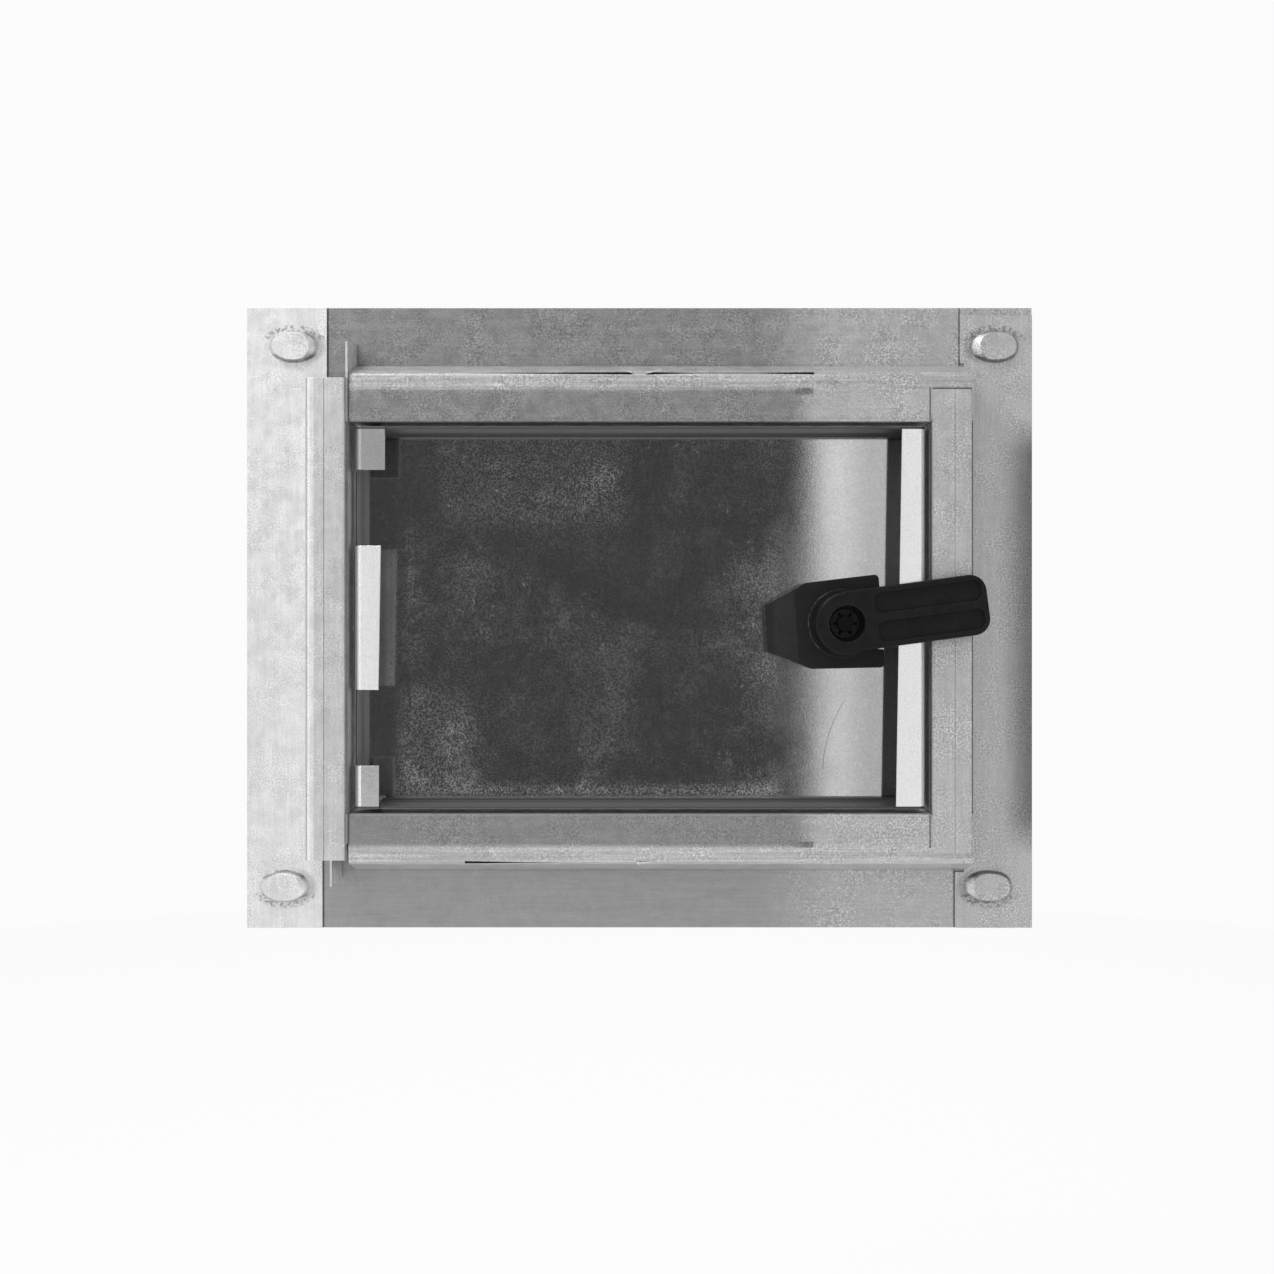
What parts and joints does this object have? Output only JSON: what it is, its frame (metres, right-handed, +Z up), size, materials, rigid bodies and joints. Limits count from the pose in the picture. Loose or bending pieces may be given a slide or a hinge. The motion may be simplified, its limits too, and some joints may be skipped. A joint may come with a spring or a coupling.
{
  "type": "meter box door",
  "caption": "Galvanised sheet-metal access door in its own wall frame, hung on two hidden pins, with a key-turned black latch behind the leaf.",
  "frame": {"origin": "middle of the doorway in the plane of the wall, which is the back face of the frame's side flanges", "axes": "+X along the width, to the right as seen from behind; +Y out of the wall, through the front of the door; +Z up"},
  "size_m": [0.25, 0.0254, 0.1976],
  "materials": {
    "galvanised_frame": "hot-dip galvanised, dull, finely spangled",
    "galvanised_rail": "hot-dip galvanised, dull, rubbed along its length",
    "galvanised_leaf": "hot-dip galvanised, bright, stained",
    "pin_steel": "zinc plated",
    "ring_steel": "spring steel, black phosphated",
    "lock_plastic": "moulded, satin",
    "spindle_plastic": "moulded, satin",
    "latch_plastic": "moulded, satin"
  },
  "bodies": {
    "frame": {"frame_left": "galvanised_frame", "frame_right": "galvanised_frame", "frame_top": "galvanised_rail", "frame_bottom": "galvanised_rail"},
    "door": {"door_leaf": "galvanised_leaf", "hinge_pin_upper": "pin_steel", "hinge_pin_lower": "pin_steel", "lock_bezel": "lock_plastic", "lock_housing": "lock_plastic"},
    "latch": {"lock_spindle": "spindle_plastic", "latch_arm": "latch_plastic", "retaining_ring": "ring_steel"}
  },
  "joints": [
    {"name": "door_hinge", "type": "hinge", "parent": "frame", "child": "door", "pos_m": [-0.0836, -0.002, 0], "axis": [0, 0, 1], "range_deg": [0, 110]},
    {"name": "latch_turn", "type": "hinge", "parent": "door", "child": "latch", "pos_m": [0.0634, 0, -0.0018], "axis": [0, -1, 0], "range_deg": [-3.7, 86.3]}
  ]
}
